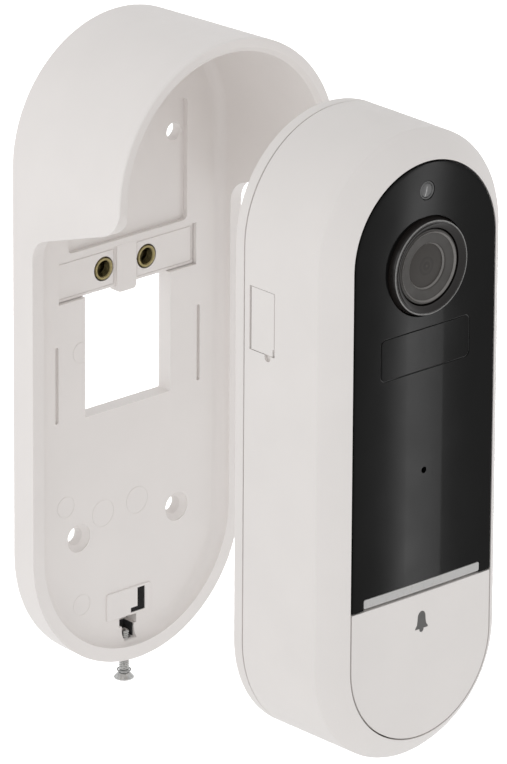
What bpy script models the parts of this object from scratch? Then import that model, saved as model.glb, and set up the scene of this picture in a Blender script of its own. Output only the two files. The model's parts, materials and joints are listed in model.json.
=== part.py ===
"""Video doorbell: a wall mount with a rain hood, and the doorbell unit that slides onto it.

The wall is the plane Y = 0 and the doorbell stands out of it towards -Y. X is its width, +X to the
right of someone who faces it, and Z is up. Lengths below are in millimetres. A place is given as
(x, f, z): f is the distance in front of the wall for the mount, or in front of the unit's own back
for the unit, and z is the height over the middle of the object. The world origin lies on the
mount's back face, CENTRE_HEIGHT under that middle.
"""
import math

import bmesh
import bpy
from mathutils import Matrix, Vector

MM = 0.001
CENTRE_HEIGHT = 30.0

# Every outline is a stadium round the same two arc centres, this far over and under the middle.
ARC_CENTRE = 46.2
ARC_STEPS = 28
CLEARANCE = 0.3

# Wall mount.
MOUNT_RADIUS = 31.0
HOOD_DEPTH = 37.8
HOOD_FLARE = 1.5
MOUNT_WALL = 3.3
MOUNT_FLOOR = 4.0
RIM_DEPTH = 7.3
SHOULDER_ANGLE = math.radians(18.7)
SHOULDER_LOW = (6.0, 26.35)
SHOULDER_HIGH = (8.5, 47.1)
CABLE_HOLE = ((-12.8, 12.8), (-16.4, 12.3))
TERMINAL = ((-20.5, 20.5), (12.4, 22.3))
TERMINAL_PAD_DEPTH = 3.0
CONTACT_X = 6.4
CONTACT_Z = 17.4
WALL_SCREW_X = 14.8
WALL_SCREW_Z = 45.2

# Locking screw, on a vertical axis through the lower edge of the mount.
SCREW_DEPTH = 2.7
SCREW_HEAD_Z = -83.8
SCREW_TIP_Z = -71.5
SCREW_RADIUS = 1.2

# Doorbell unit.
UNIT_RADIUS = 26.8
UNIT_SEAT = 4.3
UNIT_TRAVEL = 64.9
UNIT_WALL = 2.0
PARTING = 3.2
EDGE_START = 26.5
FACE_DEPTH = 32.2
PANEL_RADIUS = 20.7
FRAME_START = PANEL_RADIUS + 0.3
PANEL_SEAT = 28.5
SPLIT_Z = -32.5
SPLIT_GAP = 0.4
LENS_Z = 43.4
LENS_RADIUS = 11.3
PIR_Z = 24.35
PIR_SIZE = (26.1, 9.5)
LIGHT_SENSOR_Z = 60.7
MICROPHONE_Z = -3.9
LIGHT_BAR = ((-17.3, 17.3), (-32.2, -30.1))
BUTTON_Z = -52.0
CELL_X = 9.3
CELL_DEPTH = 12.8
CELL_RADIUS = 9.1
COVER_SCREW_X = 15.9
COVER_SCREW_Z = 61.7
PORT_COVER = ((5.0, 12.7), (23.4, 37.9))
PORT_COVER_THICKNESS = 1.35
USB_PLACE = (9.23, 32.65)
RESET_PLACE = (9.2, 25.4)

WALL = 0.0
UNIT = UNIT_SEAT + UNIT_TRAVEL

WHITE = ((0.70, 0.68, 0.66), 0.45, 0.0)
BLACK_GLOSS = ((0.012, 0.012, 0.013), 0.12, 0.0)
BLACK_MATT = ((0.03, 0.028, 0.027), 0.55, 0.0)
GREY_CLEAR = ((0.42, 0.41, 0.40), 0.25, 0.0)
BRASS_FINISH = ((0.62, 0.43, 0.14), 0.28, 1.0)
STEEL_FINISH = ((0.62, 0.62, 0.61), 0.3, 1.0)
BOARD_GREEN = ((0.02, 0.14, 0.06), 0.5, 0.0)
CELL_BLUE = ((0.03, 0.12, 0.32), 0.4, 0.0)
RUBBER_FINISH = ((0.05, 0.05, 0.05), 0.8, 0.0)
GLASS_FINISH = ((0.05, 0.045, 0.045), 0.05, 0.0)
SENSOR_FINISH = ((0.09, 0.085, 0.08), 0.35, 0.0)


def clear_scene():
    for old in list(bpy.data.objects):
        bpy.data.objects.remove(old, do_unlink=True)


def new_collection(name):
    collection = bpy.data.collections.new(name)
    bpy.context.scene.collection.children.link(collection)
    return collection


clear_scene()
PARTS = new_collection("video_doorbell")
CUTTERS = new_collection("cutters")


def place(x, f, z, base):
    """World position of a place given as (x, f, z)."""
    return Vector((x, -(f + base), z + CENTRE_HEIGHT)) * MM


def add_mesh(name, bm, finish):
    """Make an object from bm. With a finish it is a part, and without one it is a cutter."""
    bmesh.ops.recalc_face_normals(bm, faces=bm.faces[:])
    mesh = bpy.data.meshes.new(name)
    bm.to_mesh(mesh)
    bm.free()
    obj = bpy.data.objects.new(name, mesh)
    set_role(obj, finish)
    return obj


def set_role(obj, finish):
    if finish is None:
        CUTTERS.objects.link(obj)
        obj.hide_render = True
        obj.display_type = "WIRE"
        return
    PARTS.objects.link(obj)
    colour, roughness, metallic = finish
    material = bpy.data.materials.new(obj.name)
    material.use_nodes = True
    shader = material.node_tree.nodes["Principled BSDF"]
    shader.inputs["Base Color"].default_value = (*colour, 1.0)
    shader.inputs["Roughness"].default_value = roughness
    shader.inputs["Metallic"].default_value = metallic
    obj.data.materials.append(material)


def box(name, xs, fs, zs, base, finish=None):
    """Rectangular block between the two values of each of xs, fs and zs."""
    bm = bmesh.new()
    bmesh.ops.create_cube(bm, size=1.0)
    size = Vector((xs[1] - xs[0], fs[1] - fs[0], zs[1] - zs[0])) * MM
    bmesh.ops.scale(bm, vec=size, verts=bm.verts[:])
    middle = place(sum(xs) / 2, sum(fs) / 2, sum(zs) / 2, base)
    bmesh.ops.translate(bm, vec=middle, verts=bm.verts[:])
    return add_mesh(name, bm, finish)


AXIS_TURN = {
    "X": Matrix.Rotation(math.radians(90), 4, "Y"),
    "F": Matrix.Rotation(math.radians(90), 4, "X"),
    "Z": Matrix.Identity(4),
}


def on_axis(axis, along, across):
    """(x, f, z) of a point at the distance along an axis whose other two coordinates are across."""
    if axis == "X":
        return (along, across[0], across[1])
    if axis == "F":
        return (across[0], along, across[1])
    return (across[0], across[1], along)


def rod(name, axis, across, span, radius, base, finish=None, end_radius=None, segments=24):
    """Round bar along an axis, from span[0] to span[1]; a cone where end_radius is given."""
    bm = bmesh.new()
    last = radius if end_radius is None else end_radius
    bmesh.ops.create_cone(bm, cap_ends=True, segments=segments, radius1=radius * MM,
                          radius2=last * MM, depth=(span[1] - span[0]) * MM)
    middle = place(*on_axis(axis, sum(span) / 2, across), base)
    bmesh.ops.transform(bm, matrix=Matrix.Translation(middle) @ AXIS_TURN[axis], verts=bm.verts[:])
    return add_mesh(name, bm, finish)


def turned(name, profile, axis, across, base, finish=None, closed=False, steps=32):
    """Turn a profile of (radius, distance along the axis) points, listed down its outer side."""
    mesh = bpy.data.meshes.new(name)
    points = [(radius * MM, 0.0, along * MM) for radius, along in profile]
    edges = [(i, i + 1) for i in range(len(points) - 1)]
    if closed:
        edges.append((len(points) - 1, 0))
    mesh.from_pydata(points, edges, [])
    obj = bpy.data.objects.new(name, mesh)
    set_role(obj, finish)
    obj.matrix_world = Matrix.Translation(place(*on_axis(axis, 0.0, across), base)) @ AXIS_TURN[axis]
    screw = obj.modifiers.new("turn", "SCREW")
    screw.steps = steps
    screw.render_steps = steps
    screw.use_merge_vertices = True
    screw.merge_threshold = 0.00001
    screw.use_smooth_shade = True
    return obj


def loft(name, rings, finish):
    """Closed solid through rings of equal length, flat at both ends."""
    bm = bmesh.new()
    loops = [[bm.verts.new(point) for point in ring] for ring in rings]
    count = len(loops[0])
    for low, high in zip(loops, loops[1:]):
        for i in range(count):
            j = (i + 1) % count
            bm.faces.new((low[i], low[j], high[j], high[i]))
    bm.faces.new(loops[0])
    bm.faces.new(loops[-1])
    return add_mesh(name, bm, finish)


def stadium(radius):
    """Outline of two half circles and the straight sides between them, as (x, z) points."""
    outline = []
    for side, start in ((1, 0.0), (-1, math.pi)):
        for k in range(ARC_STEPS + 1):
            angle = start + math.pi * k / ARC_STEPS
            outline.append((radius * math.cos(angle), side * ARC_CENTRE + radius * math.sin(angle)))
    return outline


def stadium_solid(name, stations, base, finish=None):
    """Stadium that has each station's radius at that station's f."""
    rings = [[place(x, f, z, base) for x, z in stadium(radius)] for radius, f in stations]
    return loft(name, rings, finish)


def face_prism(name, outline, fs, base, finish=None):
    """Outline of (x, z) points, extruded from fs[0] to fs[1]."""
    return loft(name, [[place(x, f, z, base) for x, z in outline] for f in fs], finish)


def side_prism(name, outline, xs, base, finish=None):
    """Outline of (f, z) points, extruded from xs[0] to xs[1]."""
    return loft(name, [[place(x, f, z, base) for f, z in outline] for x in xs], finish)


def top_prism(name, outline, zs, base, finish=None):
    """Outline of (x, f) points, extruded from zs[0] to zs[1]."""
    return loft(name, [[place(x, f, z, base) for x, f in outline] for z in zs], finish)


def arc(centre, radius, start, end, steps):
    """Points of an arc between two angles in degrees."""
    points = []
    for k in range(steps + 1):
        angle = math.radians(start + (end - start) * k / steps)
        points.append((centre[0] + radius * math.cos(angle), centre[1] + radius * math.sin(angle)))
    return points


def rounded_rectangle(xs, zs, corner):
    outline = []
    for x, z, start in ((xs[1] - corner, zs[1] - corner, 0), (xs[0] + corner, zs[1] - corner, 90),
                        (xs[0] + corner, zs[0] + corner, 180), (xs[1] - corner, zs[0] + corner, 270)):
        outline += arc((x, z), corner, start, start + 90, 4)
    return outline


def boolean(target, operation, others):
    for other in others:
        modifier = target.modifiers.new(other.name, "BOOLEAN")
        modifier.operation = operation
        modifier.object = other
        modifier.solver = "EXACT"


def cut(target, *others):
    boolean(target, "DIFFERENCE", others)


def join(target, *others):
    boolean(target, "UNION", others)


def keep_inside(target, *others):
    boolean(target, "INTERSECT", others)


def grown(pair, amount):
    return (pair[0] - amount, pair[1] + amount)


def both_sides(distance):
    return (-distance, distance)


# ---------------------------------------------------------------- wall mount

def mount_outside(f):
    """Outer radius of the mount at a depth: the hood flares a little towards its front."""
    return MOUNT_RADIUS + HOOD_FLARE * f / HOOD_DEPTH


def shoulder_outline():
    """Side view of what is cut away to leave a low rim below the hood: a ramp between two arcs."""
    low_radius, low_z = SHOULDER_LOW
    high_radius, high_z = SHOULDER_HIGH
    tilt = math.degrees(SHOULDER_ANGLE)
    low = arc((RIM_DEPTH + low_radius, low_z), low_radius, 180, 90 + tilt, 6)
    high = arc((HOOD_DEPTH - high_radius + 0.2, high_z), high_radius, tilt - 90, -4, 7)
    return [(RIM_DEPTH, -95.0)] + low + high + [(60.0, high[-1][1]), (60.0, -95.0)]


def magnet_outline(gap):
    """L-shaped outline with its foot to the left, pulled in by gap."""
    leg = (2.6 + gap, 4.9 - gap)
    foot = 0.6 + gap
    low, top = -67.5 + gap, -61.8 - gap
    step = -66.3 - gap
    return [(foot, low), (leg[1], low), (leg[1], top), (leg[0], top), (leg[0], step), (foot, step)]


def build_mount_shell():
    shell = stadium_solid("mount_shell", [(mount_outside(0), 0), (mount_outside(HOOD_DEPTH), HOOD_DEPTH)],
                          WALL, WHITE)
    fillet = 1.5
    stations = []
    for angle in (0, 30, 60, 90):
        rise = math.radians(angle)
        f = MOUNT_FLOOR + fillet * (1 - math.cos(rise))
        stations.append((mount_outside(f) - MOUNT_WALL - fillet * (1 - math.sin(rise)), f))
    stations.append((mount_outside(50) - MOUNT_WALL, 50))
    cut(shell, stadium_solid("mount_cavity", stations, WALL))
    cut(shell, side_prism("shoulder", shoulder_outline(), both_sides(45), WALL))
    join(shell, box("lock_pad", both_sides(6.6), (3.0, 4.8), (-68.0, -61.3), WALL))

    through = (-1.0, 6.0)
    cut(shell, box("cable_hole", CABLE_HOLE[0], through, CABLE_HOLE[1], WALL))
    cut(shell, box("terminal_pocket", grown(TERMINAL[0], CLEARANCE), (0.8, 6.0),
                   grown(TERMINAL[1], CLEARANCE), WALL))
    cut(shell, box("upper_pocket", both_sides(17.8), (1.5, 6.0), (23.8, 53.0), WALL))
    for side in (-1, 1):
        cut(shell, box(f"groove_{side}", grown((side * 21.3, side * 21.3), 0.6), (3.2, 6.0),
                       (-16.0, 2.4), WALL))
        upper = (side * WALL_SCREW_X, WALL_SCREW_Z)
        cut(shell, rod(f"upper_wall_hole_{side}", "F", upper, through, 2.1, WALL))
        sunk = [(0.0, 6.0), (3.4, 6.0), (3.4, 4.3), (2.1, 2.3), (2.1, -1.0), (0.0, -1.0)]
        lower = (side * WALL_SCREW_X, -WALL_SCREW_Z)
        cut(shell, turned(f"lower_wall_hole_{side}", sunk, "F", lower, WALL, steps=24))

    cut(shell, box("screw_notch", both_sides(1.85), (0.45, 6.0), (-73.6, -70.2), WALL))
    cut(shell, box("hook_pocket", both_sides(2.6), (0.45, 6.0), (-70.4, -68.2), WALL))
    bore = [(0.0, -64.4), (1.45, -64.4), (1.45, -74.7), (2.2, -74.7), (2.2, -76.8), (2.5, -77.1),
            (2.5, -79.0), (0.0, -79.0)]
    cut(shell, turned("screw_bore", bore, "Z", (0.0, SCREW_DEPTH), WALL, steps=24))
    cut(shell, face_prism("magnet_recess", magnet_outline(0), (4.35, 6.0), WALL))
    return shell


def build_mount_fittings():
    block = box("terminal_block", TERMINAL[0], (1.1, TERMINAL_PAD_DEPTH), TERMINAL[1], WALL, WHITE)
    join(block, box("terminal_rib", both_sides(2.9), (1.2, 4.1), (10.9, 22.2), WALL))
    pieces = [block]
    insert_profile = [(2.5, 3.15), (2.7, 2.95), (2.7, 1.1), (1.6, 1.1), (1.6, 2.85), (1.9, 3.15)]
    for side, word in ((-1, "left"), (1, "right")):
        spot = (side * CONTACT_X, CONTACT_Z)
        cut(block, rod(f"insert_hole_{word}", "F", spot, (0.0, 5.0), 2.95, WALL))
        pieces.append(turned(f"brass_insert_{word}", insert_profile, "F", spot, WALL, BRASS_FINISH,
                             closed=True))
    pieces.append(face_prism("tamper_magnet", magnet_outline(0.15), (4.45, 4.78), WALL, BLACK_MATT))
    return pieces


def build_lock_screw():
    neck = SCREW_HEAD_Z + 1.6
    axis = (0.0, SCREW_DEPTH)
    profile = [(0.0, SCREW_TIP_Z), (0.8, SCREW_TIP_Z), (SCREW_RADIUS, SCREW_TIP_Z - 0.5),
               (SCREW_RADIUS, neck), (2.35, SCREW_HEAD_Z + 0.3), (2.35, SCREW_HEAD_Z),
               (0.0, SCREW_HEAD_Z)]
    screw = turned("lock_screw", profile, "Z", axis, WALL, STEEL_FINISH, steps=24)
    depth = (SCREW_HEAD_Z - 1.0, SCREW_HEAD_Z + 0.8)
    arms = [(both_sides(1.3), grown((SCREW_DEPTH, SCREW_DEPTH), 0.3)),
            (both_sides(0.3), grown((SCREW_DEPTH, SCREW_DEPTH), 1.3))]
    for number, (xs, fs) in enumerate(arms):
        cut(screw, box(f"driver_slot_{number}", xs, fs, depth, WALL))
    washer = turned("screw_washer", [(1.95, neck + 1.05), (1.95, neck + 0.25), (1.4, neck + 0.25),
                                     (1.4, neck + 1.05)], "Z", axis, WALL, GREY_CLEAR, closed=True, steps=24)
    return screw, washer


# ---------------------------------------------------------------- doorbell unit

def frame_stations(steps):
    """Radius and depth of the frame round the face, from the crease at the side to the panel."""
    stations = []
    for k in range(steps + 1):
        out = 1 - k / steps
        depth = FACE_DEPTH - (FACE_DEPTH - EDGE_START) * (0.7 * out + 0.3 * out ** 2)
        stations.append((FRAME_START + (UNIT_RADIUS - FRAME_START) * out, depth))
    return stations


def front_piece(name, radius, back, finish=None):
    """Stadium with a flat back and the front surface that panel, button and windows share."""
    return stadium_solid(name, [(radius, back), (radius, FACE_DEPTH)], UNIT, finish)


def front_envelope(name):
    return front_piece(name, UNIT_RADIUS, 20.0)


def half_unit(name, zs):
    return box(name, both_sides(30), (0.0, 40.0), zs, UNIT)


def build_rear_cover():
    cover = stadium_solid("rear_cover", [(UNIT_RADIUS - 0.6, 0), (UNIT_RADIUS, 0.6),
                                         (UNIT_RADIUS, PARTING - 0.25)], UNIT, WHITE)
    cut(cover, stadium_solid("cover_hollow", [(24.6, 2.2), (24.6, 4.0)], UNIT))
    join(cover, box("lock_hook", both_sides(2.3), (0.75 - UNIT_SEAT, 0.6), (-70.1, -68.5), UNIT))
    hook_depth = SCREW_DEPTH - UNIT_SEAT
    cut(cover, rod("hook_hole", "Z", (0.0, hook_depth), (-70.8, -67.8), 1.35, UNIT))
    cut(cover, box("pad_recess", both_sides(7.0), (-1.0, 0.8), (-68.3, -60.9), UNIT))
    for side in (-1, 1):
        cut(cover, rod(f"contact_hole_{side}", "F", (side * CONTACT_X, CONTACT_Z), (-1, 4), 1.45, UNIT))
        for height in (-1, 1):
            spot = (side * COVER_SCREW_X, height * COVER_SCREW_Z)
            label = f"{side}_{height}"
            cut(cover, rod(f"cover_screw_hole_{label}", "F", spot, (-1.0, 4.0), 1.25, UNIT, segments=16))
            cut(cover, rod(f"counterbore_{label}", "F", spot, (-1.0, 1.4), 2.2, UNIT, segments=16))
    return cover


def build_cover_seal():
    seal = stadium_solid("cover_seal", [(24.3, 2.5), (24.3, 3.9)], UNIT, RUBBER_FINISH)
    cut(seal, stadium_solid("seal_hollow", [(23.5, 1.0), (23.5, 6.0)], UNIT))
    return seal


def build_front_housing():
    outside = [(UNIT_RADIUS, PARTING)] + frame_stations(7)
    housing = stadium_solid("front_housing", outside + [(FRAME_START, PANEL_SEAT)], UNIT, WHITE)
    inner = UNIT_RADIUS - UNIT_WALL
    cut(housing, stadium_solid("housing_hollow", [(inner, 0.0), (inner, 21.5), (inner - 1.2, 24.6),
                                                  (inner - 4.0, 26.7)], UNIT))
    button_seat = stadium_solid("button_seat", [(PANEL_RADIUS, PANEL_SEAT - 0.5),
                                                (PANEL_RADIUS, PANEL_SEAT + 0.3)], UNIT)
    keep_inside(button_seat, half_unit("button_side", (-90.0, SPLIT_Z)))
    cut(housing, button_seat)

    wall_span = (25.0, 30.0)
    holes = [("camera_hole", (0.0, LENS_Z), LENS_RADIUS + CLEARANCE, 40),
             ("pir_hole", (0.0, PIR_Z), 4.6, 24),
             ("light_pipe_hole", (0.0, LIGHT_SENSOR_Z), 2.4, 20),
             ("microphone_hole", (0.0, MICROPHONE_Z), 0.8, 12),
             ("actuator_hole", (0.0, BUTTON_Z), 3.2, 20)]
    for side in (-1, 1):
        holes.append((f"led_hole_{side}", (side * 9.0, -31.1), 1.2, 12))
        holes.append((f"infrared_hole_{side}", (side * 15.6, LENS_Z), 1.9, 16))
    for name, spot, radius, segments in holes:
        cut(housing, rod(name, "F", spot, wall_span, radius, UNIT, segments=segments))

    for side in (-1, 1):
        for height in (-1, 1):
            spot = (side * COVER_SCREW_X, height * COVER_SCREW_Z)
            label = f"{side}_{height}"
            join(housing, rod(f"screw_post_{label}", "F", spot, (4.2, 12.0), 3.2, UNIT, segments=20))
            cut(housing, rod(f"post_hole_{label}", "F", spot, (4.0, 10.5), 1.2, UNIT, segments=12))

    for number in range(-2, 3):
        cut(housing, box(f"speaker_slot_{number}", grown((number * 2.4, number * 2.4), 0.5),
                         (9.5, 16.5), (-76.0, -69.0), UNIT))
    return housing


def cut_port_recess(housing):
    """Recess for the port cover in the left side, with the charging socket and reset button in it."""
    fs, zs = PORT_COVER
    join(housing, box("port_block", (-26.0, -22.9), (4.1, 14.4), (21.6, 39.6), UNIT))
    cut(housing, box("port_recess", (-30.0, -25.0), grown(fs, 0.25), grown(zs, 0.25), UNIT))
    f, z = USB_PLACE
    cut(housing, box("socket_slot", (-30.0, -20.0), grown((f, f), 1.93), grown((z, z), 4.75), UNIT))
    cut(housing, rod("reset_hole", "X", RESET_PLACE, (-30.0, -20.0), 1.3, UNIT, segments=16))
    cut(housing, rod("finger_scoop", "X", (10.4, 22.6), (-30.0, -26.1), 0.9, UNIT, segments=16))


def build_front_panel():
    panel = front_piece("front_panel", PANEL_RADIUS, 28.8, BLACK_GLOSS)
    keep_inside(panel, half_unit("panel_side", (SPLIT_Z, 90.0)))
    cut(panel, box("light_bar_notch", grown(LIGHT_BAR[0], CLEARANCE), (25.0, 40.0),
                   (SPLIT_Z - 1.0, LIGHT_BAR[1][1] + CLEARANCE), UNIT))
    through = (25.0, 40.0)
    cut(panel, rod("lens_hole", "F", (0.0, LENS_Z), through, LENS_RADIUS + CLEARANCE, UNIT, segments=48))
    cut(panel, rod("sensor_hole", "F", (0.0, LIGHT_SENSOR_Z), through, 2.4, UNIT, segments=24))
    cut(panel, rod("sound_hole", "F", (0.0, MICROPHONE_Z), through, 0.8, UNIT, segments=16))
    xs, zs = pir_window_sides()
    cut(panel, face_prism("pir_opening", rounded_rectangle(grown(xs, CLEARANCE), grown(zs, CLEARANCE), 1.6),
                          through, UNIT))
    return panel


def pir_window_sides():
    width, height = PIR_SIZE
    return both_sides(width / 2), (PIR_Z - height / 2, PIR_Z + height / 2)


def build_front_windows():
    xs, zs = pir_window_sides()
    window = face_prism("pir_window", rounded_rectangle(xs, zs, 1.3), (29.0, 38.0), UNIT, BLACK_GLOSS)
    pipe = rod("light_pipe", "F", (0.0, LIGHT_SENSOR_Z), (21.3, 38.0), 2.1, UNIT, GLASS_FINISH)
    bar = box("light_bar", LIGHT_BAR[0], (28.8, 38.0), LIGHT_BAR[1], UNIT, GREY_CLEAR)
    for piece in (window, pipe, bar):
        keep_inside(piece, front_envelope(piece.name + "_surface"))
    return [window, pipe, bar]


def build_button():
    """Push button, the tact switch's plunger that it presses, and the switch's body."""
    cap = front_piece("button_cap", PANEL_RADIUS, 28.9, WHITE)
    keep_inside(cap, half_unit("cap_side", (-90.0, SPLIT_Z - SPLIT_GAP)))
    join(cap, rod("actuator", "F", (0.0, BUTTON_Z), (27.2, 29.4), 2.6, UNIT, segments=20))
    plunger = rod("switch_plunger", "F", (0.0, BUTTON_Z), (24.9, 26.9), 1.7, UNIT, BLACK_MATT, segments=20)
    body = box("switch_body", both_sides(3.0), (23.5, 26.2), grown((BUTTON_Z, BUTTON_Z), 3.0), UNIT,
               BLACK_MATT)
    cut(body, rod("plunger_bore", "F", (0.0, BUTTON_Z), (24.1, 28.0), 2.0, UNIT, segments=20))
    return cap, plunger, body


def build_camera():
    spot = (0.0, LENS_Z)
    bezel = [(10.9, 33.8), (LENS_RADIUS, 33.5), (LENS_RADIUS, 27.0), (8.8, 27.0), (8.8, 33.1), (10.6, 33.8)]
    retainer = [(8.4, 32.9), (8.5, 32.8), (8.5, 30.4), (5.2, 30.4), (5.2, 32.5)]
    element = [(0.0, 32.3), (2.5, 32.2), (4.0, 32.05), (4.9, 31.8), (4.9, 30.6), (0.0, 30.6)]
    barrel = [(0.0, 30.1), (7.8, 30.1), (7.8, 24.0), (6.5, 24.0), (6.5, 21.6), (0.0, 21.6)]
    return [
        turned("lens_bezel", bezel, "F", spot, UNIT, BLACK_GLOSS, closed=True, steps=48),
        turned("lens_retainer", retainer, "F", spot, UNIT, SENSOR_FINISH, closed=True, steps=40),
        turned("lens_element", element, "F", spot, UNIT, GLASS_FINISH, steps=32),
        turned("lens_barrel", barrel, "F", spot, UNIT, BLACK_MATT, steps=32),
        box("image_sensor", both_sides(4.0), (20.1, 21.2), grown((LENS_Z, LENS_Z), 4.0), UNIT, SENSOR_FINISH),
    ]


def build_sensors():
    board = stadium_solid("sensor_board", [(18.0, 18.8), (18.0, 19.8)], UNIT, BOARD_GREEN)
    keep_inside(board, half_unit("sensor_board_side", (14.0, 90.0)))
    pir = [(0.0, 26.2), (3.9, 26.2), (4.1, 26.0), (4.1, 20.9), (4.4, 20.9), (4.4, 20.1), (0.0, 20.1)]
    infrared = [(0.0, 27.9), (1.0, 27.6), (1.5, 26.6), (1.5, 20.9), (1.8, 20.9), (1.8, 20.1), (0.0, 20.1)]
    pieces = [board, turned("pir_sensor", pir, "F", (0.0, PIR_Z), UNIT, STEEL_FINISH, steps=24),
              box("light_sensor", both_sides(1.0), (20.1, 21.0),
                  grown((LIGHT_SENSOR_Z, LIGHT_SENSOR_Z), 1.0), UNIT, BLACK_MATT)]
    for side, word in ((-1, "left"), (1, "right")):
        pieces.append(turned(f"infrared_led_{word}", infrared, "F", (side * 15.6, LENS_Z), UNIT,
                             GLASS_FINISH, steps=16))
    return pieces


def build_button_board():
    pieces = [box("button_board", both_sides(11.0), (22.3, 23.3), (-60.0, 1.0), UNIT, BOARD_GREEN),
              box("microphone", both_sides(1.9), (23.5, 24.7), grown((MICROPHONE_Z, MICROPHONE_Z), 1.5),
                  UNIT, STEEL_FINISH),
              turned("microphone_gasket", [(1.7, 26.5), (1.7, 24.95), (0.7, 24.95), (0.7, 26.5)], "F",
                     (0.0, MICROPHONE_Z), UNIT, RUBBER_FINISH, closed=True, steps=16)]
    for side, word in ((-1, "left"), (1, "right")):
        pieces.append(box(f"status_led_{word}", grown((side * 9.0, side * 9.0), 1.4), (23.5, 24.5),
                          grown((-31.15, -31.15), 1.0), UNIT, GREY_CLEAR))
    return pieces


def build_main_board():
    board = stadium_solid("main_board", [(20.5, 6.2), (20.5, 7.4)], UNIT, BOARD_GREEN)
    keep_inside(board, half_unit("main_board_side", (10.0, 90.0)))
    for side in (-1, 1):
        post = (side * COVER_SCREW_X, COVER_SCREW_Z)
        cut(board, rod(f"board_notch_{side}", "F", post, (5.0, 9.0), 3.6, UNIT, segments=20))
    return [board,
            box("wifi_module", (-6.0, 6.0), (7.7, 10.1), (44.0, 60.0), UNIT, STEEL_FINISH),
            box("wifi_antenna", (-7.0, 7.0), (7.7, 12.7), (62.2, 63.0), UNIT, BRASS_FINISH),
            box("tamper_sensor", (2.2, 5.2), (2.5, 3.3), (-65.5, -63.5), UNIT, BLACK_MATT)]


def build_power():
    cradle = box("battery_cradle", both_sides(19.3), (2.6, 9.0), (-58.2, 8.8), UNIT, BLACK_MATT)
    pieces = [cradle]
    for side, word in ((-1, "left"), (1, "right")):
        spot = (side * CELL_X, CELL_DEPTH)
        cut(cradle, rod(f"cell_trough_{word}", "Z", spot, (-60.0, 10.0), CELL_RADIUS + CLEARANCE, UNIT,
                        segments=40))
        pieces.append(rod(f"battery_cell_{word}", "Z", spot, (-57.5, 7.5), CELL_RADIUS, UNIT, CELL_BLUE,
                          segments=32))
    return pieces


def build_speaker():
    driver = box("speaker", both_sides(12.0), (6.5, 18.5), (-66.4, -60.4), UNIT, BLACK_MATT)
    gasket = box("speaker_gasket", both_sides(7.2), (8.0, 18.0), (-69.2, -66.7), UNIT, RUBBER_FINISH)
    cut(gasket, box("speaker_gasket_hole", both_sides(5.7), (9.3, 16.7), (-71.0, -65.0), UNIT))
    return [driver, gasket]


def build_contacts_and_screws():
    pin = [(0.0, 5.9), (1.1, 5.9), (1.1, 3.5), (1.9, 3.5), (1.9, 2.5), (1.1, 2.5), (1.1, -2.2),
           (0.6, -2.7), (0.0, -2.7)]
    screw = [(0.0, 9.0), (0.6, 9.0), (0.95, 8.5), (0.95, 1.15), (1.9, 1.15), (1.9, 0.2), (0.0, 0.2)]
    pieces = []
    for side, word in ((-1, "left"), (1, "right")):
        pieces.append(turned(f"contact_pin_{word}", pin, "F", (side * CONTACT_X, CONTACT_Z), UNIT,
                             BRASS_FINISH, steps=20))
        for height, row in ((-1, "lower"), (1, "upper")):
            spot = (side * COVER_SCREW_X, height * COVER_SCREW_Z)
            pieces.append(turned(f"cover_screw_{row}_{word}", screw, "F", spot, UNIT, STEEL_FINISH, steps=16))
    return pieces


def build_charging_port():
    f, z = USB_PLACE
    shell = box("charging_socket", (-24.7, -17.4), grown((f, f), 1.63), grown((z, z), 4.47), UNIT,
                STEEL_FINISH)
    cut(shell, box("socket_cavity", (-26.0, -18.4), grown((f, f), 1.33), grown((z, z), 4.17), UNIT))
    join(shell, box("socket_tongue", (-24.0, -17.9), grown((f, f), 0.35), grown((z, z), 3.3), UNIT))
    f, z = RESET_PLACE
    switch = box("reset_switch", (-21.2, -18.6), (7.7, 10.7), grown((z, z), 1.6), UNIT, BLACK_MATT)
    reset = rod("reset_button", "X", RESET_PLACE, (-24.4, -22.0), 1.0, UNIT, BLACK_MATT, segments=16)
    return shell, switch, reset


def port_hinge():
    """(x, f) of the port cover's vertical hinge axis: the middle of its rounded rear edge."""
    return (-UNIT_RADIUS + 0.05 + PORT_COVER_THICKNESS / 2, PORT_COVER[0][0] + PORT_COVER_THICKNESS / 2)


def build_port_cover():
    x, f = port_hinge()
    half = PORT_COVER_THICKNESS / 2
    front = PORT_COVER[0][1]
    outline = arc((x, f), half, 180, 360, 10) + [(x + half, front), (x - half, front)]
    return top_prism("port_cover", outline, PORT_COVER[1], UNIT, WHITE)


# ---------------------------------------------------------------- assembly

def carry(name, at, pieces, parent=None):
    """Parent pieces to an empty on their body's joint axis, and leave them where they are."""
    empty = bpy.data.objects.new(name, None)
    PARTS.objects.link(empty)
    empty.empty_display_size = 0.01
    empty.location = at
    bpy.context.view_layer.update()
    if parent is not None:
        attach(empty, parent)
    for piece in pieces:
        attach(piece, empty)
    return empty


def attach(child, parent):
    child.parent = parent
    child.matrix_parent_inverse = parent.matrix_world.inverted()
    bpy.context.view_layer.update()


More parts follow.
